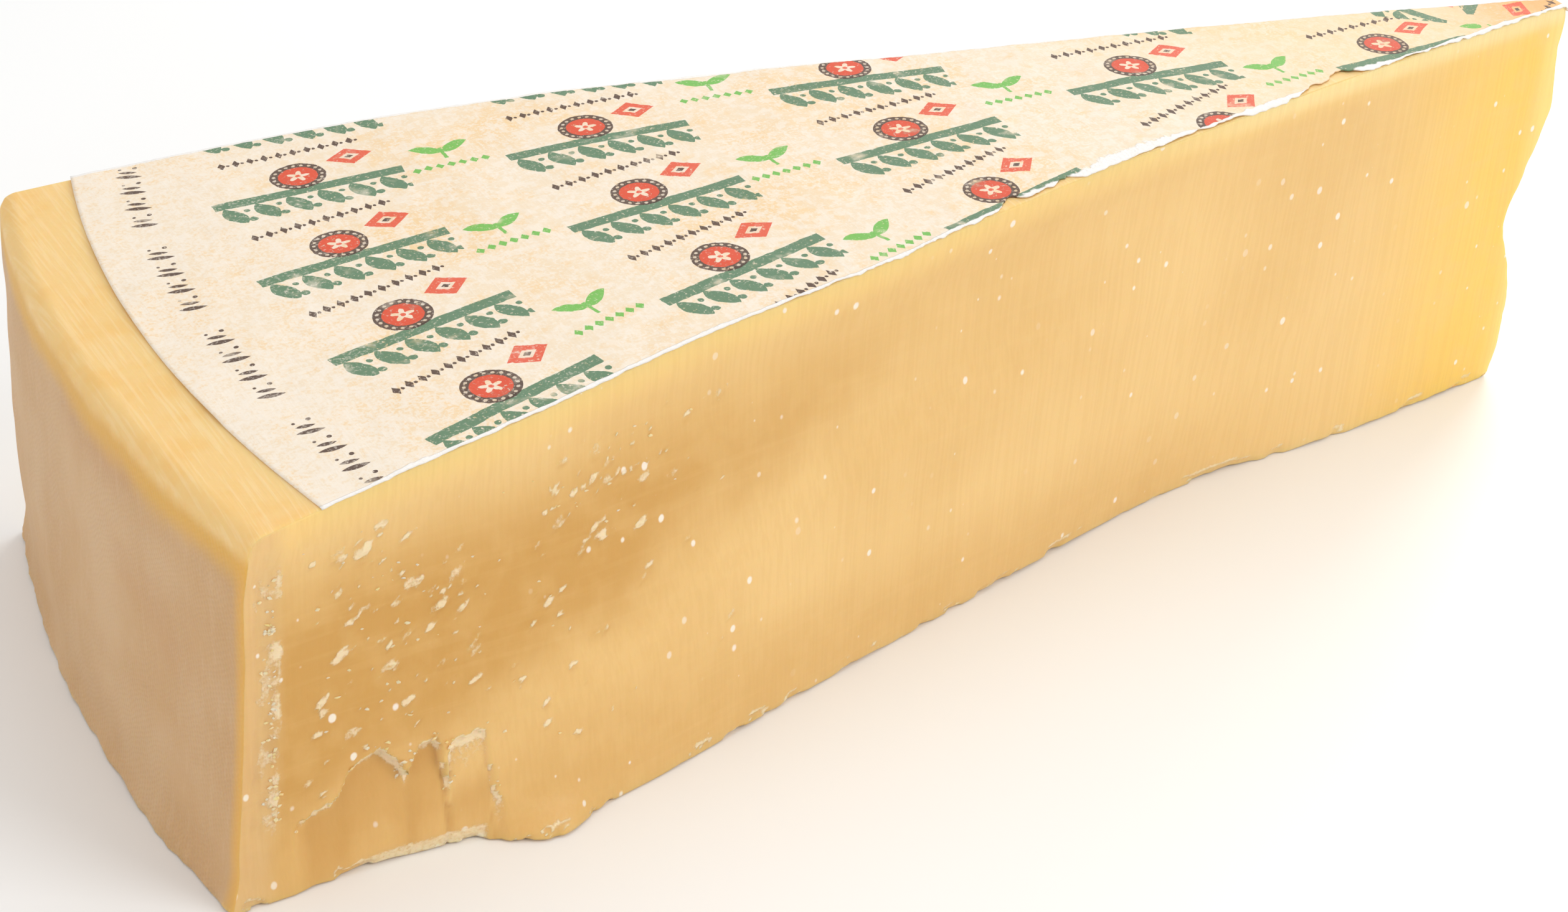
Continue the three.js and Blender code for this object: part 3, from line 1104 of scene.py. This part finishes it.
def paper_place(a, b):
    """Where the paper lies on the dome: a from its outer edge to the tip, b from cut to cut."""
    rim = WHEEL_RADIUS - BARE_RIM
    radius = rim + (-TIP_REACH - LABEL_OVER_TIP - rim) * a
    z = top_height(radius)
    x = -radius
    near_rind = smooth(0.2, 0.7, radius / WHEEL_RADIUS)
    for _ in range(SETTLING_ROUNDS):
        near = near_cut(x, z) - paper_edge(x, 101)
        far = far_cut(x, z) + paper_edge(x, 105)
        bites = sum(deep * bump(x - TIP_REACH + at, wide) for at, deep, wide in NEAR_BITES)
        near = near + bites * (1 + 0.5 * noise(along_x(x), 2.5, 2, 109))
        y = near + (far - near) * b
        arc = np.sqrt(np.maximum(radius**2 - y**2, 1e-9))
        x = -radius + near_rind * (radius - arc)
    return x, y, z


def paper_height(x, y, z, from_near):
    """The paper follows the cheese, lifts in places, sags past the cut and hangs over the tip."""
    flat = np.stack([x, y, 0 * x], -1)
    lift = 0.25 * np.clip(noise(flat, 14, 3, 112), -0.1, 1)
    loose = smooth(-175, -150, x)
    lift += loose * 0.4 * smooth(2.6, -0.3, from_near) * np.clip(noise(flat, 4.5, 3, 114), 0, 1)
    top = top_height(np.hypot(x, y)) + LABEL_GAP + np.maximum(lift, -0.05)
    top += 0.2 * np.clip(noise(np.stack([x, y, z], -1), (30, 30, 30), 2, 81), 0, 1)
    top -= 0.8 * np.clip(-from_near, 0, None)
    past_tip = np.clip(x - TIP_REACH - 1.2, 0, None)
    return top - 0.35 * past_tip**2


def paper_fray(x, y, z, from_near):
    """1 where the paper's edge is torn to white fibre, and 0 where it is whole."""
    width = 0.45 + 0.35 * np.clip(noise(along_x(x), 12, 2, 117), -0.5, 1)
    width += sum(wide * bump(x - TIP_REACH + at, long) for at, wide, long in NEAR_FRAYS)
    near = np.clip(1.0 - 0.5 * from_near / width, 0, 1)
    far = np.clip(1.0 - 0.5 * (far_cut(x, z) - y) / 0.5, 0, 1)
    return np.maximum(near, far)


def closed_sheet(na, nb):
    """Quads of a closed sheet: na by nb points above, the same number below, and its edge."""
    i, j = np.meshgrid(np.arange(na - 1), np.arange(nb - 1), indexing="ij")
    p = (i * nb + j).ravel()
    sheet = np.stack([p, p + nb, p + nb + 1, p + 1], -1)
    n = na * nb
    ring = np.concatenate([
        np.arange(nb - 1),
        (nb - 1) + nb * np.arange(na - 1),
        n - 1 - np.arange(nb - 1),
        nb * np.arange(na - 1, 0, -1),
    ])
    following = np.roll(ring, -1)
    wall = np.stack([ring, following, following + n, ring + n], -1)
    return np.concatenate([sheet, sheet[:, ::-1] + n, wall])


# The label's upper side on its bake map, and how far above it the underside lies.
LABEL_BAKE_CORNER = (0.01, 0.02)
LABEL_BAKE_SIZE = (0.98, 0.38)
LABEL_BAKE_UNDER = (0, 0.42)


def make_label():
    """The paper as a thin closed sheet, following the dome and the two cuts."""
    a = steps(WHEEL_RADIUS - BARE_RIM + TIP_REACH, ((0, 0.6), (293, 0.6)))
    b = steps(118, ((0, 0.25), (5, 0.5), (12, 1.9), (106, 1.9), (113, 0.6), (118, 0.35)))
    faces = closed_sheet(len(a), len(b))
    a, b = (v.ravel() for v in np.meshgrid(a, b, indexing="ij"))
    x, y, z = paper_place(a, b)
    from_near = y - near_cut(x, z)
    upper = np.stack([x, y, paper_height(x, y, z, from_near)], -1)
    fray = paper_fray(x, y, z, from_near)
    uv = np.stack([a, b], -1) * LABEL_BAKE_SIZE + LABEL_BAKE_CORNER
    uv = np.concatenate([uv, uv + LABEL_BAKE_UNDER])
    points = np.concatenate([upper, upper - (0, 0, LABEL_THICK)])
    piece = make_piece("label", points, faces, label_material(),
                       {"fray": np.concatenate([fray, fray])}, uv[faces])
    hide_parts("paper_label")
    return piece


CRUMB = (
    (0, 0, 1), (0.85, 0, 0.35), (0.2, 0.8, 0.3), (-0.7, 0.5, 0.35), (-0.75, -0.45, 0.3),
    (0.25, -0.8, 0.35), (0.6, 0.45, -0.4), (-0.3, 0.75, -0.45), (-0.8, 0, -0.4), (-0.2, -0.8, -0.4),
    (0.7, -0.4, -0.4), (0, 0, -0.8),
)
CRUMB_FACES = (
    (0, 1, 2), (0, 2, 3), (0, 3, 4), (0, 4, 5), (0, 5, 1), (1, 6, 2), (2, 7, 3), (3, 8, 4), (4, 9, 5),
    (5, 10, 1), (2, 6, 7), (3, 7, 8), (4, 8, 9), (5, 9, 10), (1, 10, 6), (11, 7, 6), (11, 8, 7),
    (11, 9, 8), (11, 10, 9), (11, 6, 10),
)
STRIP_X = -271.0  # the outer end of the strip of crumbs beside the rind


def make_crumbs():
    """Small torn crumbs that cling to the near cut, densest beside the rind and on the ledge."""
    random = np.random.default_rng(SEED + 1)
    shape = np.array(CRUMB, float)
    shape /= np.linalg.norm(shape, axis=1)[:, None]
    points, faces = [], []

    def add(x, z, size, long):
        centre = np.array([[x, float(near_cut(np.array([x]), np.array([z]))[0]), z]])
        out = near_relief(centre).out[0]
        normal = outward("near", centre)[0]
        turned = shape * (1 + 0.3 * random.normal(size=(len(shape), 1)))
        tilt = Matrix.Rotation(random.uniform(-0.5, 0.5), 3, "Y")
        tilt = tilt @ Matrix.Rotation(random.uniform(-0.4, 0.4), 3, "X")
        turned = (turned * (long, 0.45, 0.7)) @ np.array(tilt).T * size
        faces.append(np.array(CRUMB_FACES) + len(CRUMB) * len(points))
        points.append(turned + centre + normal * (out + 0.12 * size))

    for behind, height, spread_x, spread_z, count in NEAR_FLECKS:
        for _ in range(count // 4):
            add(TIP_REACH - random.normal(behind, spread_x), random.normal(height, spread_z),
                random.uniform(0.15, 0.4), random.uniform(0.9, 1.5))
    for _ in range(70):
        height = random.uniform(14, 58)
        add(STRIP_X - abs(random.normal(0, 1.2)), height, random.uniform(0.2, 0.5),
            random.uniform(0.7, 1.3))
    for _ in range(40):
        behind, height = NEAR_LEDGE[random.integers(1, len(NEAR_LEDGE) - 1)]
        add(TIP_REACH - behind + random.normal(0, 1.2), height + random.normal(0, 0.9),
            random.uniform(0.15, 0.45), random.uniform(0.8, 1.4))
    piece = make_piece("torn_crumbs", np.concatenate(points), np.concatenate(faces),
                       crumb_material())
    for polygon in piece.data.polygons:
        polygon.use_smooth = False
    return piece


# ---------------------------------------------------------------- stage
FLOOR_SIZE = 12.0
CAMERA_PLACE = (-411.2, -429.6, 310.5)  # about the wheel's axis, in mm
CAMERA_AZIMUTH = 31.2
CAMERA_TILT = 29.94
CAMERA_ROLL = 4.07
CAMERA_LENS = 72.57
# Each area light: place, what it faces, size, and power.
LIGHTS = {
    "key": ((0.9, -1.1, 1.0), (0.02, 0, 0.04), 0.9, 11),
    "top": ((0.1, 0.25, 1.5), (0, 0, 0), 1.4, 7),
    "back": ((1.0, 0.8, 0.55), (0.12, 0, 0.04), 0.6, 7),
    "fill": ((-1.3, -0.5, 0.7), (0, 0, 0.04), 1.2, 5.2),
}


def make_camera():
    data = bpy.data.cameras.new("camera")
    data.lens = CAMERA_LENS
    data.sensor_width = 36
    data.clip_start = 0.02
    camera = new_object("camera", data)
    heading, tilt, roll = (math.radians(v) for v in (CAMERA_AZIMUTH, CAMERA_TILT, CAMERA_ROLL))
    level_right = Vector((math.cos(heading), -math.sin(heading), 0))
    level_forward = Vector((math.sin(heading), math.cos(heading), 0))
    forward = level_forward * math.cos(tilt) - Vector((0, 0, math.sin(tilt)))
    level_up = level_right.cross(forward)
    right = math.cos(roll) * level_right + math.sin(roll) * level_up
    up = math.cos(roll) * level_up - math.sin(roll) * level_right
    turn = Matrix((right, up, -forward)).transposed().to_4x4()
    place_m = Vector(CAMERA_PLACE) * MM + Vector((AXIS_X, AXIS_Y, 0))
    camera.matrix_world = Matrix.Translation(place_m) @ turn
    bpy.context.scene.camera = camera


def area_light(name, place_m, target, size, power):
    data = bpy.data.lights.new(name, "AREA")
    data.shape = "RECTANGLE"
    data.size = data.size_y = size
    data.energy = power
    light = new_object(name, data)
    direction = Vector(target) - Vector(place_m)
    turn = direction.to_track_quat("-Z", "Y").to_matrix().to_4x4()
    light.matrix_world = Matrix.Translation(place_m) @ turn


def make_stage():
    half = FLOOR_SIZE / 2
    mesh = bpy.data.meshes.new("floor")
    corners = [(-half, -half, 0), (half, -half, 0), (half, half, 0), (-half, half, 0)]
    mesh.from_pydata(corners, [], [(0, 1, 2, 3)])
    floor = new_object("floor", mesh)
    floor.location.z = -0.0002
    mesh.materials.append(floor_material())
    for name, light in LIGHTS.items():
        area_light(name, *light)
    world = bpy.data.worlds.new("studio")
    bpy.context.scene.world = world
    world.use_nodes = True
    background = world.node_tree.nodes["Background"]
    background.inputs["Color"].default_value = (1, 1, 1, 1)
    background.inputs["Strength"].default_value = 0.5
    bpy.context.scene.view_settings.view_transform = "Standard"


make_camera()
make_cheese()
make_label()
make_crumbs()
make_stage()
